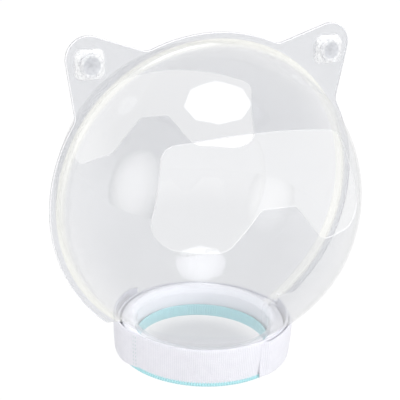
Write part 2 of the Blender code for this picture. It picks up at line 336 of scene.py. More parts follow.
@dataclass(frozen=True)
class HookTape(Textile):
    """White nylon hook tape: a close grid of small stiff hooks, with painted shade between them."""

    light: Colour = (0.84, 0.84, 0.87)
    shade: Colour = (0.60, 0.60, 0.64)

    def build(self) -> Material:
        """The finished material."""
        mixer = Mixer.material(self.name)
        _, length, height = mixer.surface_places()
        hooks = length.wave(1.3) * height.wave(1.6)
        # Painted shade: darker between the hooks.
        return self.matt(mixer, 1.0 - hooks, hooks, 0.0006, 1.0, {"Roughness": 0.45})


@dataclass(frozen=True)
class Foam(Textile):
    """White closed-cell foam, with pores."""

    light: Colour = (0.95, 0.95, 0.97)
    shade: Colour = (0.84, 0.84, 0.88)

    def build(self) -> Material:
        """The finished material."""
        mixer = Mixer.material(self.name)
        places = mixer.object_places()
        pores = mixer.noise(places, 1400.0, 2.0)
        soft = mixer.noise(places, 90.0, 2.0)
        return self.matt(mixer, pores * 0.5 + soft * 0.4, pores + soft, 0.0003, 0.6,
                         {"Roughness": 0.85})


@dataclass(frozen=True)
class RibKnit(Textile):
    """Pale teal knit, lighter on the ribs and darker between them as painted shade, with small stitches
    along each rib.
    """

    light: Colour = (0.50, 0.80, 0.84)
    shade: Colour = (0.30, 0.60, 0.64)
    rib_pitch: float = 1.5

    def build(self) -> Material:
        """The finished material."""
        mixer = Mixer.material(self.name)
        places, length, height = mixer.surface_places()
        fuzz = mixer.noise(places, 3.5, 3.0)
        relief = length.wave(self.rib_pitch) * 0.6 + height.wave(0.9) * 0.25 + fuzz * 0.3
        # Painted shade in the grooves between ribs and rows, with random fuzz.
        return self.matt(mixer, 1.0 - relief, relief, 0.0004, 0.6, {
            "Roughness": 0.9, "Sheen Weight": 0.3, "Specular IOR Level": 0.2})


@dataclass(frozen=True)
class Glow:
    """A light-giving panel that fades towards its edge, for the studio only."""

    name: str
    colour: Colour
    strength: float
    fade: float

    def build(self) -> Material:
        """The finished material."""
        mixer = Mixer.material(self.name)
        places = mixer.node("UVMap").outputs["UV"]
        from_middle = mixer.node(
            "VectorMath", {"operation": "DISTANCE"}, {0: places, 1: (0.5, 0.5, 0.0)})
        spread = mixer.number(from_middle.outputs["Value"]) * 2.0
        shade = mixer.mix_colour(spread ** 2.5 * self.fade, self.colour, (0.0, 0.0, 0.0))
        return mixer.done(mixer.node("Emission", inputs={"Color": shade, "Strength": self.strength}))


@dataclass(frozen=True)
class PaleFloor:
    """The studio's pale floor, which glows so that it stays white, and glows darker under the neck: a
    painted shadow.
    """

    name: str
    colour: Colour = (0.05, 0.05, 0.05)
    glow: float = 0.97
    # The painted shadow's colour under the neck, and the radii over which it fades out.
    painted_neck_shadow: Colour = (0.66, 0.675, 0.70)
    painted_shadow_radii: Pair = (22.0 * MM, 44.0 * MM)

    def build(self) -> Material:
        """The finished material."""
        mixer = Mixer.material(self.name)
        places = mixer.object_places()
        mottle = mixer.noise(places, 6.0, 2.0)
        darker = tuple(0.99 * channel for channel in self.colour)
        from_neck = mixer.node("VectorMath", {"operation": "LENGTH"}, {0: places}).outputs["Value"]
        # Painted shadow: the glow goes grey inside the neck's radius, a disc of shade under the collar.
        outside_painted_shadow = mixer.node(
            "MapRange", {"interpolation_type": "SMOOTHSTEP"},
            {"Value": from_neck, "From Min": self.painted_shadow_radii[0], "From Max": self.painted_shadow_radii[1]})
        glow = mixer.mix_colour(
            mixer.number(outside_painted_shadow.outputs["Result"]), self.painted_neck_shadow, (1.0, 1.0, 1.0))
        surface = mixer.node("BsdfPrincipled", inputs={
            "Base Color": mixer.mix_colour(mottle, self.colour, darker), "Roughness": 0.8,
            "Specular IOR Level": 0.1, "Emission Color": glow, "Emission Strength": self.glow})
        return mixer.done(surface)


class Wardrobe:
    """Every finish of the collar, each made once."""

    def __init__(self) -> None:
        """Builds the materials."""
        clear = {
            Finish.FACE: ClearPlastic("clear_sheet_face"),
            # Cut edges and the rim's bevels are near-white milk: a painted highlight along each edge.
            Finish.CUT: ClearPlastic("clear_sheet_cut_edge_painted_highlight", milk=0.62, gloss_roughness=0.12,
                                     milk_colour=(0.95, 0.95, 0.96)),
            Finish.POCKET: ClearPlastic("stretched_pocket", milk=0.34, clouds=1.0,
                                        gloss_roughness=0.10, milk_colour=(0.96, 0.96, 0.95)),
            # The fillet between ball and rim is milkier, yellower and clearer than the face, with less
            # mirror at its edge: a painted light band.
            Finish.BEND: ClearPlastic("bend_painted_light_band", milk=0.13, milk_at_edge=0.06,
                                      mirror_at_edge=0.15, gloss_roughness=0.28,
                                      tint=(0.960, 0.960, 0.950), milk_colour=(0.90, 0.90, 0.86)),
            # The rim's outline, seen edge on, is dark grey milk: a painted shade line.
            Finish.OUTLINE: ClearPlastic("clear_sheet_edge_painted_shade", milk=0.65,
                                         gloss_roughness=0.12, milk_colour=(0.33, 0.33, 0.35)),
            Finish.NECK: ClearPlastic("clear_sheet_neck", milk=0.20, milk_at_edge=0.15,
                                      mirror=0.05, mirror_at_edge=0.12, gloss_roughness=0.10,
                                      tint=(0.965, 0.967, 0.972), milk_colour=(0.95, 0.95, 0.97)),
        }
        self.clear = [clear[finish].build() for finish in Finish]
        # The stud resin in two copies: greyer milk in the middle, and near-white milk with random
        # clouds on the outer ring, a painted highlight ring.
        self.snap = ClearPlastic(
            "clear_resin", milk=0.42, clouds=0.3, gloss_roughness=0.06,
            milk_colour=(0.74, 0.75, 0.78)).build()
        self.snap_painted_highlight_ring = ClearPlastic(
            "resin_painted_highlight_ring", milk=0.42, clouds=0.9, gloss_roughness=0.06,
            milk_colour=(0.92, 0.92, 0.92)).build()
        self.tape = LoopTape("white_loop_pile").build()
        self.hook = HookTape("white_hook_grid").build()
        self.foam = Foam("white_foam_skin").build()
        self.knit = RibKnit("teal_rib_knit").build()
        self.thread = LoopTape("pale_thread", light=(0.66, 0.74, 0.75), shade=(0.42, 0.50, 0.52),
                               rib_pitch=0.3, row_pitch=0.3, depth=0.0001).build()


# --- Modelling ---


def mm(*pairs: Pair) -> list[Pair]:
    """Points given in millimetres, in metres."""
    return [(a * MM, b * MM) for a, b in pairs]


def arc(centre: Pair, radius: float, start: float, end: float, steps: int) -> list[Pair]:
    """Points on a circle from one angle to another in radians, both included."""
    angles = [start + (end - start) * i / steps for i in range(steps + 1)]
    return [(centre[0] + radius * math.cos(a), centre[1] + radius * math.sin(a)) for a in angles]


def rounded(before: Pair, corner: Pair, after: Pair, radius: float, steps: int) -> list[Pair]:
    """The corner of an outline replaced by an arc that touches both of its sides.

    Args:
        before: The point before the corner.
        corner: The corner.
        after: The point after the corner.
        radius: The arc's radius.
        steps: How many straight steps it has.

    Returns:
        The arc's points, in the outline's order.
    """
    corner = Vector(corner)
    to_before = (Vector(before) - corner).normalized()
    to_after = (Vector(after) - corner).normalized()
    half_angle = to_before.angle(to_after) / 2
    centre = corner + (to_before + to_after).normalized() * radius / math.sin(half_angle)
    first = corner + to_before * radius / math.tan(half_angle) - centre
    last = corner + to_after * radius / math.tan(half_angle) - centre
    turn = first.angle_signed(last)
    points = []
    for i in range(steps + 1):
        spoke = first.copy()
        spoke.rotate(Matrix.Rotation(-turn * i / steps, 2))
        points.append(tuple(centre + spoke))
    return points


def rounded_loop(corners: Sequence[Pair], radii: Sequence[float], steps: int) -> list[Pair]:
    """A closed outline with each corner rounded by its own radius."""
    points: list[Pair] = []
    for i, corner in enumerate(corners):
        following = corners[(i + 1) % len(corners)]
        points += rounded(corners[i - 1], corner, following, radii[i], steps)
    return points


def mirrored(right_half: Sequence[Pair]) -> list[Pair]:
    """Closes an outline whose right half runs from its top to its bottom."""
    left_half = [(-x, z) for x, z in reversed(right_half) if abs(x) > 1e-9]
    return [*right_half, *left_half]


class Workbench:
    """Blender's modelling tools, used as by hand."""

    @staticmethod
    def pick(obj: Object | None = None) -> None:
        """Selects one object alone, or nothing."""
        bpy.ops.object.select_all(action="DESELECT")
        bpy.context.view_layer.objects.active = obj
        if obj:
            obj.select_set(True)

    @classmethod
    def outline(cls, name: str, points: Sequence[Vector], filled: bool) -> Object:
        """A closed loop of vertices, with or without a face in it."""
        cls.pick()
        fill = "NGON" if filled else "NOTHING"
        bpy.ops.mesh.primitive_circle_add(vertices=len(points), fill_type=fill)
        obj = bpy.context.object
        obj.name = obj.data.name = name
        for vert, point in zip(obj.data.vertices, points):
            vert.co = point
        return obj

    @classmethod
    def tidy(cls, obj: Object) -> Object:
        """Merges doubles, drops faces without area and points the rest outwards."""
        cls.pick(obj)
        bpy.ops.object.mode_set(mode="EDIT")
        bpy.ops.mesh.select_all(action="SELECT")
        bpy.ops.mesh.remove_doubles(threshold=2e-6)
        bpy.ops.mesh.dissolve_degenerate(threshold=1e-6)
        bpy.ops.mesh.select_all(action="SELECT")
        bpy.ops.mesh.normals_make_consistent(inside=False)
        bpy.ops.object.mode_set(mode="OBJECT")
        return obj

    @classmethod
    def spun(cls, obj: Object, axis: str, degrees: float, steps: int) -> Object:
        """Turns an outline about an axis through the object's origin into a solid."""
        cls.pick(obj)
        bpy.ops.object.mode_set(mode="EDIT")
        bpy.ops.mesh.select_all(action="SELECT")
        direction = {"X": (1, 0, 0), "Y": (0, 1, 0), "Z": (0, 0, 1)}[axis]
        bpy.ops.mesh.spin(steps=steps, angle=-math.radians(degrees), center=(0, 0, 0), axis=direction)
        bpy.ops.object.mode_set(mode="OBJECT")
        return cls.tidy(obj)

    @classmethod
    def plate(cls, name: str, outline: Sequence[Pair], back_y: float, front_y: float,
              draft: float = 1.0, centre: Pair = (0.0, 0.0), bevel: float = 0.0) -> Object:
        """An X-Z outline extruded along Y.

        Args:
            name: The plate's name.
            outline: Its (x, z) points.
            back_y: Where it starts.
            front_y: Where it ends.
            draft: The front face's share of the outline's size.
            centre: The (x, z) point that it shrinks towards.
            bevel: How far its edges are rounded.

        Returns:
            The plate.
        """
        points = [Vector((x, back_y, z)) for x, z in outline]
        obj = cls.outline(name, points, True)
        cls.pick(obj)
        bpy.ops.object.mode_set(mode="EDIT")
        bpy.ops.mesh.select_all(action="SELECT")
        bpy.ops.mesh.extrude_region_move(
            TRANSFORM_OT_translate={"value": (0, front_y - back_y, 0)})
        if bevel:
            bpy.ops.mesh.bevel(offset=bevel, segments=2, affect="EDGES")
        bpy.ops.object.mode_set(mode="OBJECT")
        for vert in obj.data.vertices:
            if vert.select:
                vert.co.x = centre[0] + (vert.co.x - centre[0]) * draft
                vert.co.z = centre[1] + (vert.co.z - centre[1]) * draft
        return cls.tidy(obj)

    @classmethod
    def lathe(cls, name: str, profile: Sequence[Pair], axis: str, segments: int) -> Object:
        """Turns a closed profile of (radius, place along the axis) a full turn."""
        if axis == "Y":
            points = [Vector((r, along, 0)) for r, along in profile]
        else:
            points = [Vector((0, -r, along)) for r, along in profile]
        return cls.spun(cls.outline(name, points, False), axis, 360, segments)

    @classmethod
    def combine(cls, operation: str, obj: Object, *tools: Object) -> Object:
        """Joins or cuts obj with each tool in turn, which is used up."""
        for tool in tools:
            cls.pick(obj)
            step = obj.modifiers.new("combine", "BOOLEAN")
            step.operation = operation
            step.solver = "MANIFOLD"
            step.object = tool
            bpy.ops.object.modifier_apply(modifier=step.name)
            bpy.data.objects.remove(tool)
        return obj

    @classmethod
    def smooth(cls, obj: Object, degrees: float) -> Object:
        """Shades smooth across edges flatter than an angle."""
        cls.pick(obj)
        bpy.ops.object.shade_smooth_by_angle(angle=math.radians(degrees))
        return obj

    @classmethod
    def copy(cls, obj: Object, name: str, matrix: Matrix) -> Object:
        """A copy with its own mesh, moved by a matrix."""
        twin = obj.copy()
        twin.data = obj.data.copy()
        twin.name = twin.data.name = name
        twin.data.transform(matrix)
        bpy.context.scene.collection.objects.link(twin)
        return twin


class Band:
    """A band swept round the neck, with a map of its own surface in millimetres."""

    UV_NAME = "surface_mm"

    @classmethod
    def sweep(cls, name: str, section: Sequence[Pair], start: float, end: float, step: float,
              reshape: Reshape | None = None) -> Object:
        """Sweeps a section of (radius, height) points round the neck.

        Args:
            name: The band's name.
            section: The closed section.
            start: Where it starts, in degrees.
            end: Where it ends, in degrees.
            step: The longest straight step, in degrees.
            reshape: Gives a point's radius and height from its angle, radius and height.

        Returns:
            The band, a closed solid.
        """
        angle = math.radians(start)
        points = [Vector((r * math.sin(angle), -r * math.cos(angle), z)) for r, z in section]
        obj = Workbench.outline(name, points, True)
        steps = max(2, math.ceil(abs(end - start) / step))
        Workbench.spun(obj, "Z", end - start, steps)
        places = {}
        for vert in obj.data.vertices:
            degrees = math.degrees(math.atan2(vert.co.x, -vert.co.y))
            radius = math.hypot(vert.co.x, vert.co.y)
            places[vert.index] = (math.radians(degrees) * radius / MM, (vert.co.z + radius) / MM)
            if reshape:
                new_radius, height = reshape(degrees, radius, vert.co.z)
                vert.co.x *= new_radius / radius
                vert.co.y *= new_radius / radius
                vert.co.z = height
        layer = obj.data.uv_layers.new(name=cls.UV_NAME)
        for loop in obj.data.loops:
            layer.uv[loop.index].vector = places[loop.vertex_index]
        return Workbench.smooth(obj, 50)


def ease(value: float, start: float, end: float) -> float:
    """A smooth climb from 0 at start to 1 at end."""
    share = min(1.0, max(0.0, (value - start) / (end - start)))
    return share * share * (3 - 2 * share)


def dress(obj: Object, materials: Sequence[Material]) -> Object:
    """Gives a piece its materials."""
    obj.data.materials.clear()
    for material in materials:
        obj.data.materials.append(material)
    return obj


# --- The clear halves ---


@dataclass
class ClearHalf:
    """A thermoformed half ball with its rim, ears, snap pockets, face opening and neck spigot."""

    wardrobe: Wardrobe
    ball_r: float
    rim_r: float
    ear_top_z: float
    sheet: float = 0.8 * MM
    half_gap: float = 0.15 * MM
    segments: int = 176
    spigot_r: float = 39.5 * MM
    spigot_foot_z: float = 1.3 * MM
    neck_fillet_r: float = 4.0 * MM
    neck_top: float = 20.4 * MM
    rim_fillet_r: float = 3.6 * MM
    rim_foot_z: float = 24.8 * MM
    pocket_side: float = 16.4 * MM
    pocket_depth: float = 2.2 * MM
    pocket_draft: float = 0.86
    post_hole_r: float = 1.45 * MM
    ear_share: float = 1.097
    snap_shares: Pair = (0.82, 0.922)

    @property
    def ball_z(self) -> float:
        """The height of the ball's centre."""
        return self.ear_top_z - self.ear_share * self.ball_r

    @property
    def snap_sites(self) -> list[Pair]:
        """The (x, z) centres of the pockets, left then right."""
        aside, above = (share * self.ball_r for share in self.snap_shares)
        return [(-aside, self.ball_z + above), (aside, self.ball_z + above)]

    @property
    def rim_front(self) -> float:
        """The y of the rim's front face."""
        return -(self.half_gap + self.sheet)

    def opening(self) -> list[Pair]:
        """The face opening: an arched top, round corners and a rise for the nose."""
        r = self.ball_r
        arch_r = 1.9 * r
        corner, corner_r = (0.585 * r, 0.560 * r), 0.13 * r
        foot, foot_r = (0.722 * r, 0.006 * r), 0.13 * r
        nose_foot, nose_foot_r = (0.318 * r, 0.008 * r), 0.12 * r
        shoulder, shoulder_r = (0.108 * r, 0.256 * r), 0.06 * r
        arch_end = math.asin((corner[0] - corner_r) / arch_r)
        half = arc((0.0, 0.648 * r - arch_r), arch_r, math.pi / 2, math.pi / 2 - arch_end, 10)
        half += rounded(half[-1], corner, foot, corner_r, 12)
        half += rounded(corner, foot, nose_foot, foot_r, 14)
        half += rounded(foot, nose_foot, shoulder, nose_foot_r, 10)
        half += rounded(nose_foot, shoulder, (0.0, shoulder[1]), shoulder_r, 8)
        return [(x, z + self.ball_z) for x, z in mirrored(half)]

    def rim(self) -> list[Pair]:
        """The rim's outline with its ears, closed below by a straight line."""
        r, rim = self.ball_r, self.rim_r
        inner, outer = math.radians(65.3), math.radians(32.3)
        peak, peak_r, root_r = (1.009 * r, 1.166 * r), 0.142 * r, 0.09 * r
        inner_root = (rim * math.cos(inner), rim * math.sin(inner))
        outer_root = (rim * math.cos(outer), rim * math.sin(outer))
        along_top = (inner_root[0] - inner_root[1], inner_root[1] + inner_root[0])
        down_side = (outer_root[0] + outer_root[1], outer_root[1] - outer_root[0])
        foot = math.asin((self.rim_foot_z - self.ball_z) / rim)
        turn = math.radians(3.0)
        half = arc((0, 0), rim, math.pi / 2, inner + turn, 14)
        half += rounded(along_top, inner_root, peak, root_r, 8)
        half += rounded(inner_root, peak, outer_root, peak_r, 20)
        half += rounded(peak, outer_root, down_side, root_r, 8)
        half += arc((0, 0), rim, outer - turn, foot, 56)
        return [(x, z + self.ball_z) for x, z in mirrored(half)]

    def ball(self, radius: float) -> Object:
        """A ball with its poles on the Y axis."""
        Workbench.pick()
        bpy.ops.mesh.primitive_uv_sphere_add(
            segments=self.segments, ring_count=self.segments // 2, radius=radius,
            location=(0, 0, self.ball_z), rotation=(math.pi / 2, 0, 0))
        bpy.ops.object.transform_apply(location=True, rotation=True, scale=True)
        return bpy.context.object

    def neck(self, inset: float, foot_z: float) -> Object:
        """The neck's solid of revolution, inset from the sheet's outer face."""
        fillet = self.neck_fillet_r
        fillet_r = self.spigot_r + fillet
        drop = math.sqrt((self.ball_r + fillet) ** 2 - fillet_r ** 2)
        fillet_z = self.ball_z - drop
        towards_ball = math.atan2(drop, -fillet_r)
        curve = arc((fillet_r, fillet_z), fillet + inset, math.pi, towards_ball, 10)
        inside = (0.8 * self.spigot_r, fillet_z + 3 * fillet)
        profile = [(0, foot_z), (self.spigot_r - inset, foot_z), *curve, inside, (0, inside[1])]
        return Workbench.lathe("neck", profile, "Z", self.segments)

    def rim_fillet(self, inset: float) -> Object:
        """The ring that rounds the ball into the rim, inset from the sheet's outer face."""
        beyond = 3 * MM
        fillet = self.rim_fillet_r + inset
        plane = self.rim_front + inset
        offset = self.rim_fillet_r - self.rim_front
        middle_r = math.sqrt((self.ball_r + self.rim_fillet_r) ** 2 - offset ** 2)
        towards_ball = math.atan2(offset, -middle_r)
        curve = arc((middle_r, -offset), fillet, math.pi / 2, towards_ball, 10)
        root = (self.ball_r - 1.6 * self.sheet - inset, curve[-1][1])
        profile = [(middle_r, beyond), (middle_r, plane), *curve[1:], root, (root[0], beyond)]
        ring = Workbench.lathe("rim_fillet", profile, "Y", self.segments)
        ring.data.transform(Matrix.Translation((0, 0, self.ball_z)))
        wide = 2 * self.ball_r
        foot = [(-wide, -wide), (wide, -wide), (wide, self.rim_foot_z), (-wide, self.rim_foot_z)]
        return Workbench.combine("DIFFERENCE", ring, Workbench.plate("below", foot, wide, -wide))

    def square(self, side: float, centre: Pair) -> list[Pair]:
        """A square outline with round corners."""
        half = side / 2
        corners = [(half, half), (half, -half), (-half, -half), (-half, half)]
        loop = rounded_loop(corners, [side / 4] * 4, 8)
        return [(centre[0] + x, centre[1] + z) for x, z in loop]

    def build_outside(self) -> Object:
        """The solid shape of the sheet's outer face."""
        beyond = 3 * MM
        rim = Workbench.plate("rim", self.rim(), beyond, self.rim_front, bevel=self.sheet / 2)
        blocks = [Workbench.plate("pocket", self.square(self.pocket_side, site),
                                  self.rim_front + self.sheet / 2,
                                  self.rim_front - self.pocket_depth, self.pocket_draft, site)
                  for site in self.snap_sites]
        return Workbench.combine(
            "UNION", self.ball(self.ball_r),
            self.neck(0.0, self.spigot_foot_z), rim, self.rim_fillet(0.0), *blocks)

    def cut_inside(self, body: Object) -> None:
        """Takes the hollow, the opening, the pockets and the rear half out of the solid."""
        far = 3 * self.ball_r
        tools = [self.ball(self.ball_r - self.sheet), self.neck(self.sheet, -5 * MM),
                 self.rim_fillet(self.sheet),
                 Workbench.plate("face", self.opening(), -self.ball_r / 4, -far)]
        for site in self.snap_sites:
            inner_side = self.pocket_side - 2 * self.sheet
            tools.append(Workbench.plate("hollow", self.square(inner_side, site), self.half_gap,
                                         self.rim_front - self.pocket_depth + self.sheet,
                                         self.pocket_draft, site))
            hole = [(site[0] + x, site[1] + z)
                    for x, z in arc((0, 0), self.post_hole_r, 0, math.tau, 24)[:-1]]
            tools.append(Workbench.plate("hole", hole, 0, -8 * MM))
        behind = [(-far, -far), (far, -far), (far, far), (-far, far)]
        tools.append(Workbench.plate("behind", behind, far, -self.half_gap))
        Workbench.combine("DIFFERENCE", body, *tools)

    def mark_edges(self, body: Object) -> None:
        """Gives the cut edges, the pockets, the bends and the neck their own finishes."""
        pocket_reach = 0.56 * self.pocket_side
        neck_reach = self.spigot_r + self.neck_fillet_r
        fillet_end = self.ball_r + self.rim_fillet_r
        on_rim, on_front = 1.06 * self.ball_r, -0.3 * self.ball_r
        edge_on, tilted, curved = 0.04, 0.97, 0.995
        for face in body.data.polygons:
            x, y, z = face.center
            facing = abs(face.normal.y)
            from_axis = math.hypot(x, z - self.ball_z)
            from_site = min(max(abs(x - sx), abs(z - sz)) for sx, sz in self.snap_sites)
            finish = Finish.FACE
            if z < self.neck_top and math.hypot(x, y) < neck_reach:
                finish = Finish.NECK
            elif from_site < pocket_reach and y < self.rim_front + self.sheet / 2:
                finish = Finish.POCKET
            # Edge-on faces of the opening take the painted highlight line.
            elif facing < edge_on and y < on_front:
                finish = Finish.CUT
            # Edge-on faces of the rim's outline take the painted shade line.
            elif facing < edge_on and from_axis > on_rim:
                finish = Finish.OUTLINE
            # The rim's tilted bevel faces take the painted highlight line, beside the painted shade
            # line.
            elif facing < tilted and from_axis > on_rim:
                finish = Finish.CUT
            # Faces of the rim's fillet take the painted light band.
            elif y > -self.rim_fillet_r and from_axis < fillet_end and facing < curved:
                finish = Finish.BEND
            face.material_index = finish.value

    def build(self) -> list[Object]:
        """Makes the front half and its turned copy."""
        body = self.build_outside()
        self.cut_inside(body)
        Workbench.tidy(body)
        dress(body, self.wardrobe.clear)
        self.mark_edges(body)
        Workbench.smooth(body, 30)
        body.name = body.data.name = "front_clear_half"
        twin = Workbench.copy(body, "rear_clear_half", HALF_TURN)
        for half, piece in ((Half.FRONT, body), (Half.REAR, twin)):
            piece.visible_shadow = False
            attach(piece, half.body)
            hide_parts(f"{half.value}_shell")
        return [body, twin]


# --- Press studs ---


@dataclass
class PressStuds:
    """The resin press studs in the ear pockets."""

    wardrobe: Wardrobe
    shell: ClearHalf
    gap: float = 0.3 * MM
    cap_r: float = 6.1 * MM
    cap_t: float = 1.3 * MM
    post_r: float = 1.1 * MM
    rivet_r: float = 1.75 * MM
    base_r: float = 5.0 * MM
    base_t: float = 0.7 * MM
    segments: int = 56

    def cap(self) -> list[Pair]:
        """A dished cap with a round rim, and its post with a spread end."""
        front = -self.gap - self.cap_t
        dish_r = 0.66 * self.cap_r
        lip = arc((self.cap_r - 0.5 * MM, front + 0.5 * MM), 0.5 * MM, -math.pi / 2, 0, 5)
        post_end = self.shell.sheet + 2 * self.gap + self.base_t
        return [(0.0, front + 0.75 * MM), (0.5 * dish_r, front + 0.70 * MM),
                (dish_r, front + 0.40 * MM), (dish_r + 0.5 * MM, front), *lip,
                (self.cap_r, -self.gap), (self.post_r, -self.gap), (self.post_r, post_end),
                (self.rivet_r, post_end), (0.8 * self.rivet_r, post_end + 0.5 * MM),
                (0.0, post_end + 0.6 * MM)]

    def socket(self) -> list[Pair]:
        """A base disc and the ring wall that grips the stud."""
        bore, end = self.shell.post_hole_r, self.base_t + 1.9 * MM
        lip = arc((4.1 * MM, end - 0.3 * MM), 0.3 * MM, 0, math.pi / 2, 4)
        return [(bore, 0), (self.base_r, 0), (self.base_r, self.base_t), (4.4 * MM, self.base_t),
                *lip, (3.15 * MM, end), (3.0 * MM, end - 0.3 * MM), (3.0 * MM, self.base_t),
                (bore, self.base_t)]

    def stud(self) -> list[Pair]:
        """A base disc and the beaded stud."""
        end = self.base_t + 1.6 * MM
        bead = arc((2.3 * MM, end - 0.5 * MM), 0.3 * MM, -math.pi / 3, math.pi / 2, 5)
        recess, bore = self.base_t + self.gap / 2, self.rivet_r + self.gap / 2
        hole = self.shell.post_hole_r
        return [(hole, 0), (self.base_r, 0), (self.base_r, self.base_t), (2.4 * MM, self.base_t),
                *bead, (bore, end - 0.2 * MM), (bore, recess), (hole, recess)]

    def place(self, name: str, profile: Sequence[Pair], site: Pair, y: float, half: Half) -> None:
        """Turns a profile at a pocket and hangs it on its half."""
        piece = Workbench.lathe(f"{name}_resin", profile, "Y", self.segments)
        dress(piece, [self.wardrobe.snap, self.wardrobe.snap_painted_highlight_ring])
        for face in piece.data.polygons:
            from_axis = math.hypot(face.center.x, face.center.z)
            # Faces beyond 0.74 of the cap's radius take the painted highlight ring.
            face.material_index = int(from_axis > 0.74 * self.cap_r)
        piece.data.transform(half.turn @ Matrix.Translation((site[0], y, site[1])))
        Workbench.smooth(piece, 40)
        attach(piece, half.body)
        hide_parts(name)

    def build(self) -> None:
        """Makes both halves' caps, sockets and studs."""
        pocket_front = self.shell.rim_front - self.shell.pocket_depth
        base_y = pocket_front + self.shell.sheet + self.gap
        left, right = self.shell.snap_sites
        for half in Half:
            sides = ("left", "right") if half is Half.FRONT else ("right", "left")
            grips = ((left, sides[0], "socket", self.socket()),
                     (right, sides[1], "stud", self.stud()))
            for site, side, grip, profile in grips:
                self.place(f"{half.value}_{side}_snap_cap", self.cap(), site, pocket_front, half)
                self.place(f"{half.value}_{side}_snap_{grip}", profile, site, base_y, half)


# --- The padded neck collar ---


@dataclass
class NeckCollar:
    """The foam, knit binding, loop tape and free tail of one half."""

    wardrobe: Wardrobe
    half: Half
    tail_end: float
    middle_top: float
    tail_top: float
    seam: float = 89.75
    strap_end: float = 88.2
    tape_r: Pair = (47.5 * MM, 48.9 * MM)
    tape_z: Pair = (1.7 * MM, 22.6 * MM)
    tail_step: float = 2.2 * MM
    tail_drop: float = 0.8 * MM
    hook_r: Pair = (49.05 * MM, 49.6 * MM)
    hook_start: float = 98.0
    flare: float = 1.0 * MM
    lift: Pair = (68.0, 88.0)
    stitched_at: Pair = (72.5, 74.5)
    slack: float = 0.16 * MM
    end_press: float = 1.2 * MM
    end_thinning: float = 0.85 * MM
    end_gape: float = 1.1 * MM

    def name(self, what: str) -> str:
        """A piece's name for this half."""
        return f"{self.half.value}_{what}"

    def settle(self, piece: Object, material: Material) -> Object:
        """Turns a piece to its half and dresses it."""
        piece.data.transform(self.half.turn)
        return dress(piece, [material])

    def tape_section(self, radii: Pair, heights: Pair) -> list[Pair]:
        """A tape's section with soft edges, the faces split so that they can curve."""
        corners = [(radii[0], heights[0]), (radii[1], heights[0]),
                   (radii[1], heights[1]), (radii[0], heights[1])]
        soft = 0.42 * (radii[1] - radii[0])
        loop = rounded_loop(corners, [soft] * 4, 4)
        rows = 8
        outer = [(radii[1], heights[0] + (heights[1] - heights[0]) * i / rows) for i in range(1, rows)]
        inner = [(radii[0], z) for _, z in reversed(outer)]
        middle = len(loop) // 2
        return [*loop[:middle], *outer, *loop[middle:], *inner]

    def share_of_height(self, height: float) -> float:
        """From 0 at the tape's lower edge to 1 at its upper edge."""
        return (height - self.tape_z[0]) / (self.tape_z[1] - self.tape_z[0])

    def placed(self, along: float, radius: float, height: float) -> Pair:
        """Leans a point of the tape out like the side of a barrel, and sets its height.

        Args:
            along: How far round the neck it lies towards the tail, in degrees from the middle.
            radius: Its radius before.
            height: Its height before.

        Returns:
            Its radius and height.
        """
        share = self.share_of_height(height)
        lean = self.flare * math.sin(0.60 * math.pi * share) - 0.3 * MM
        towards_tail = ease(along, self.lift[1], self.tail_end - 15)
        top = self.middle_top + (self.tail_top - self.middle_top) * towards_tail
        bottom = self.tape_z[0] - self.tail_drop * ease(along, *self.lift)
        return radius + lean, bottom + (top - bottom) * share

    def tape_shape(self, degrees: float, radius: float, height: float) -> Pair:
        """Lifts the tape over the other half's, and presses its thin free end down."""
        along = -degrees
        radius, new_height = self.placed(along, radius, height)
        share = self.share_of_height(height)
        wave = self.slack * math.sin(math.radians(5 * degrees + 40)) * share
        end = ease(along, self.tail_end - 7, self.tail_end - 1)
        step = self.tail_step * ease(along, *self.lift) - self.end_press * end
        outside = ease(radius, self.tape_r[0], self.tape_r[1])
        thinned = self.end_thinning * end * outside
        loose = ease(along, self.tail_end - 5, self.tail_end) * (1 - ease(share, 0.0, 0.45))
        return radius + step - thinned + self.end_gape * loose, new_height + wave

    def hook_shape(self, degrees: float, radius: float, height: float) -> Pair:
        """Keeps the hooks against the tape's inner face."""
        return self.placed(-degrees, radius, height)

    def foam_shape(self, degrees: float, radius: float, height: float) -> Pair:
        """Fills the pad out above the binding, where the tape lifts off it."""
        outside = ease(radius, 43.0 * MM, 45.9 * MM)
        above_binding = ease(height, 7.8 * MM, 10.0 * MM)
        lifted = self.tail_step * ease(-degrees, *self.lift)
        return radius + (lifted + 1.0 * MM) * outside * above_binding, height

    def build_foam(self) -> None:
        """The foam pad, round at its edges."""
        corners = mm((39.8, 1.3), (45.9, 1.3), (45.9, 18.6), (43.2, 18.6), (39.8, 14.9))
        loop = rounded_loop(corners, [0.6 * MM, 1.2 * MM, 1.5 * MM, 1.2 * MM, 1.2 * MM], 4)
        step = mm((45.9, 7.9), (45.9, 10.2))
        section = [*loop[:10], *step, *loop[10:]]
        pad = Band.sweep(self.name("foam"), section, -self.seam, self.seam, 2.0, self.foam_shape)
        self.settle(pad, self.wardrobe.foam)
        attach(pad, self.half.body)
        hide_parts(self.name("foam_pad"))

    def build_binding(self) -> None:
        """The ribbed knit folded under the spigot and the foam."""
        top, turn = 7.6 * MM, 1.0 * MM
        inner, outer = 37.4 * MM, 47.3 * MM
        corners = [(inner, top), (inner, 0), (outer, 0), (outer, top), (outer - turn, top),
                   (outer - turn, turn), (inner + turn, turn), (inner + turn, top)]
        radii = [0.45 * MM, 1.5 * MM, 1.3 * MM, 0.45 * MM, 0.45 * MM, 0.5 * MM, 0.5 * MM, 0.45 * MM]
        section = rounded_loop(corners, radii, 4)
        middle = (inner + outer) / 2
        rib_degrees = 1.8

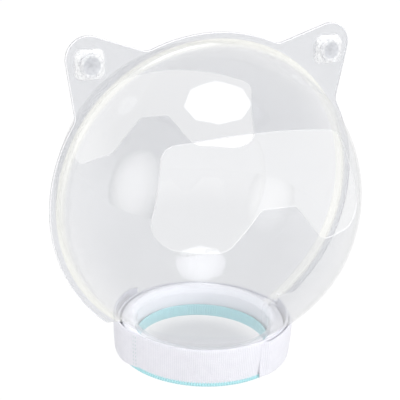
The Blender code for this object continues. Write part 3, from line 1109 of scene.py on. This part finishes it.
        def ribs(degrees: float, radius: float, height: float) -> Pair:
            """Ribs on the faces that show, and a bead under the tape's lower edge."""
            crest = 0.5 + 0.5 * math.cos(math.tau * degrees / rib_degrees)
            outside = ease(radius, middle, outer)
            inside = 1.0 - ease(radius, inner, inner + turn)
            bead = outside * (1.0 - ease(height, 1.3 * MM, 1.9 * MM))
            stand = 0.25 * MM * crest
            return radius + bead * (1.5 * MM + 2 * stand) - inside * stand, height

        binding = Band.sweep(self.name("knit"), section, -self.seam, self.seam, 0.45, ribs)
        self.settle(binding, self.wardrobe.knit)
        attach(binding, self.half.body)
        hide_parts(self.name("edge_binding"))
        self.name("foam")

    def build_tape(self) -> None:
        """The loop tape, from its short end round the foam to the cut end of its free tail."""
        section = self.tape_section(self.tape_r, self.tape_z)
        tape = Band.sweep(self.name("tape"), section, self.strap_end, -self.tail_end, 1.2,
                          self.tape_shape)
        self.settle(tape, self.wardrobe.tape)
        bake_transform(tape)
        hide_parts(self.name("strap"), self.name("strap_tail"))
        middle_r = sum(self.tape_r) / 2
        length = math.radians(self.strap_end + self.tail_end) * middle_r
        length += math.radians(self.tail_end - sum(self.lift) / 2) * self.tail_step
        self.name("foam")

    def build_hooks(self) -> None:
        """The hook patch inside the tail."""
        margin = 2.0 * MM
        heights = (self.tape_z[0] + margin, self.tape_z[1] - margin)
        hook_end = self.tail_end - 8.0
        hooks = Band.sweep(self.name("hooks"), self.tape_section(self.hook_r, heights),
                           -self.hook_start, -hook_end, 2.0, self.hook_shape)
        self.settle(hooks, self.wardrobe.hook)
        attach(hooks, self.half.tail_body)
        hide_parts(self.name("hook_patch"))
        self.name("tape")

    def build_stitches(self) -> None:
        """Two upright rows of stitches where the tail leaves the foam."""
        stitch_w, stitch_h, count = 0.5 * MM, 1.5 * MM, 8
        rows = []
        for degrees in self.stitched_at:
            turn = Matrix.Rotation(-math.radians(degrees), 4, "Z")
            for i in range(count):
                share = (i + 1.0) / (count + 1)
                height = self.tape_z[0] + share * (self.tape_z[1] - self.tape_z[0])
                radius, height = self.tape_shape(-degrees, self.tape_r[1], height)
                Workbench.pick()
                bpy.ops.mesh.primitive_uv_sphere_add(segments=10, ring_count=6, radius=1.0)
                stitch = bpy.context.object
                size = Matrix.Diagonal((stitch_w / 2, 0.22 * MM, stitch_h / 2, 1.0))
                place = Matrix.Translation((0, -radius, height))
                stitch.data.transform(turn @ place @ size)
                rows.append(stitch)
        Workbench.pick(rows[0])
        for stitch in rows[1:]:
            stitch.select_set(True)
        bpy.ops.object.join()
        joined = bpy.context.object
        joined.name = joined.data.name = self.name("stitches")
        joined.data.uv_layers[0].name = Band.UV_NAME
        Workbench.smooth(joined, 60)
        self.settle(joined, self.wardrobe.thread)
        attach(joined, self.half.body)

    def build(self) -> None:
        """Makes every piece of this half's collar."""
        self.build_foam()
        self.build_binding()
        self.build_tape()
        self.build_hooks()
        self.build_stitches()


# --- Studio ---


@dataclass
class Studio:
    """The pale floor, the lights and the camera."""

    ball_r: float
    ball_z: float
    azimuth: float = -25.33
    elevation: float = 20.39
    roll: float = 2.467
    distance_in_radii: float = 7.20
    lens_mm: float = 98.8
    shift: Pair = (-0.020, -0.015)
    zenith: Colour = (0.26, 0.265, 0.28)
    horizon: Colour = (0.95, 0.95, 0.95)
    fill_size: float = 0.7
    fill_distance: float = 1.3
    fill_lights: tuple[tuple[Colour, float], ...] = (
        ((-0.75, -1.0, 0.55), 3.2), ((0.95, -0.65, 0.45), 7.6),
        ((0.2, 1.0, 0.8), 4.0), ((-0.30, -0.65, 1.4), 6.5))

    def build_camera(self) -> None:
        """Aims the camera at the ball's centre."""
        azimuth, elevation = math.radians(self.azimuth), math.radians(self.elevation)
        flat = math.cos(elevation)
        back = Vector((math.sin(azimuth) * flat, -math.cos(azimuth) * flat, math.sin(elevation)))
        level = Vector((math.cos(azimuth), math.sin(azimuth), 0))
        upright = back.cross(level)
        turn = math.radians(self.roll)
        right = level * math.cos(turn) + upright * math.sin(turn)
        up = upright * math.cos(turn) - level * math.sin(turn)
        place = Vector((0, 0, self.ball_z)) + back * self.distance_in_radii * self.ball_r
        bpy.ops.object.camera_add()
        camera = bpy.context.object
        camera.matrix_world = Matrix((right, up, back)).transposed().to_4x4()
        camera.location = place
        camera.data.lens = self.lens_mm
        camera.data.sensor_width = 36.0
        camera.data.shift_x, camera.data.shift_y = self.shift
        camera.data.clip_start = 0.01
        bpy.context.scene.camera = camera

    def panel(self, name: str, sides: int, towards: Vector, distance: float, size: Pair,
              glow: Glow) -> None:
        """A light-giving panel that the camera doesn't see.

        Args:
            name: The panel's name.
            sides: How many sides it has.
            towards: Its direction from the ball.
            distance: Its distance from the ball.
            size: Its half width and half height.
            glow: Its light.
        """
        Workbench.pick()
        bpy.ops.mesh.primitive_circle_add(
            vertices=sides, radius=1.0, fill_type="NGON", rotation=(0, 0, math.pi / sides))
        panel = bpy.context.object
        panel.name = panel.data.name = name
        bpy.ops.object.transform_apply(location=False, rotation=True, scale=False)
        direction = towards.normalized()
        turn = direction.to_track_quat("Z", "Y").to_matrix().to_4x4()
        place = Matrix.Translation(Vector((0, 0, self.ball_z)) + direction * distance)
        panel.data.transform(place @ turn @ Matrix.Diagonal((size[0], size[1], 1.0, 1.0)))
        panel.data.materials.append(glow.build())
        panel.visible_camera = False
        panel.visible_shadow = False

    def fill_light(self, towards: Vector, watts: float) -> None:
        """A soft light from a direction, which no gloss mirrors."""
        Workbench.pick()
        bpy.ops.object.light_add(type="AREA")
        light = bpy.context.object
        light.data.shape = "DISK"
        light.data.size = self.fill_size
        light.data.energy = watts
        light.visible_glossy = False
        direction = towards.normalized()
        light.rotation_euler = direction.to_track_quat("Z", "Y").to_euler()
        light.location = Vector((0, 0, self.ball_z)) + direction * self.fill_distance

    def build_sky(self) -> None:
        """A plain room, paler towards the horizon."""
        world = bpy.data.worlds.new("studio")
        bpy.context.scene.world = world
        mixer = Mixer(world)
        places = mixer.node("TexCoord").outputs["Generated"]
        height = mixer.node("SeparateXYZ", inputs={"Vector": places}).outputs["Z"]
        climb = mixer.node("MapRange", {"interpolation_type": "SMOOTHSTEP"},
                           {"Value": height, "From Min": 0.05, "From Max": 0.60})
        share = mixer.number(climb.outputs["Result"])
        sky = mixer.node("Background",
                         inputs={"Color": mixer.mix_colour(share, self.horizon, self.zenith)})
        mixer.node("OutputWorld", inputs={"Surface": sky.outputs[0]})

    def build(self) -> None:
        """Makes the floor, world, lights and camera."""
        scene = bpy.context.scene
        scene.view_settings.view_transform = "Standard"
        scene.cycles.transparent_max_bounces = 40
        self.build_sky()
        Workbench.pick()
        bpy.ops.mesh.primitive_grid_add(
            x_subdivisions=8, y_subdivisions=8, size=12, location=(0, 0, -0.3 * MM))
        floor = bpy.context.object
        floor.name = "floor"
        floor.data.materials.append(PaleFloor("pale_floor").build())
        self.panel("softbox", 8, Vector((0.010, -0.110, 0.993)), 0.45, (0.160, 0.145),
                   Glow("softbox_glow", (0.98, 0.98, 1.0), 4.6, 0.6))
        self.panel("left_panel", 32, Vector((-0.960, -0.150, 0.240)), 2.5, (0.95, 1.25),
                   Glow("left_glow", (1.0, 0.995, 0.97), 1.9, 0.95))
        for direction, watts in self.fill_lights:
            self.fill_light(Vector(direction), watts)
        self.build_camera()


# --- Assembly ---


def main() -> None:
    """Builds the collar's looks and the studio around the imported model."""
    logging.basicConfig(level=logging.INFO, format="%(name)s: %(message)s")
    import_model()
    low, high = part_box("front_shell")
    wardrobe = Wardrobe()
    shell = ClearHalf(wardrobe, ball_r=-low.y, rim_r=high.x, ear_top_z=high.z)
    Studio(shell.ball_r, shell.ball_z).build()
    for piece in shell.build():
        LOG.info("%s: %d faces", piece.name, len(piece.data.polygons))
    PressStuds(wardrobe, shell).build()
    LOG.info("press studs made")
    for half, tail_end, middle_top, tail_top in ((Half.FRONT, 150.0, 23.0 * MM, 22.2 * MM),
                                                 (Half.REAR, 164.0, 18.2 * MM, 22.6 * MM)):
        NeckCollar(wardrobe, half, tail_end, middle_top, tail_top).build()
        LOG.info("%s collar made", half.value)
    Workbench.pick()


if __name__ == "__main__":
    main()
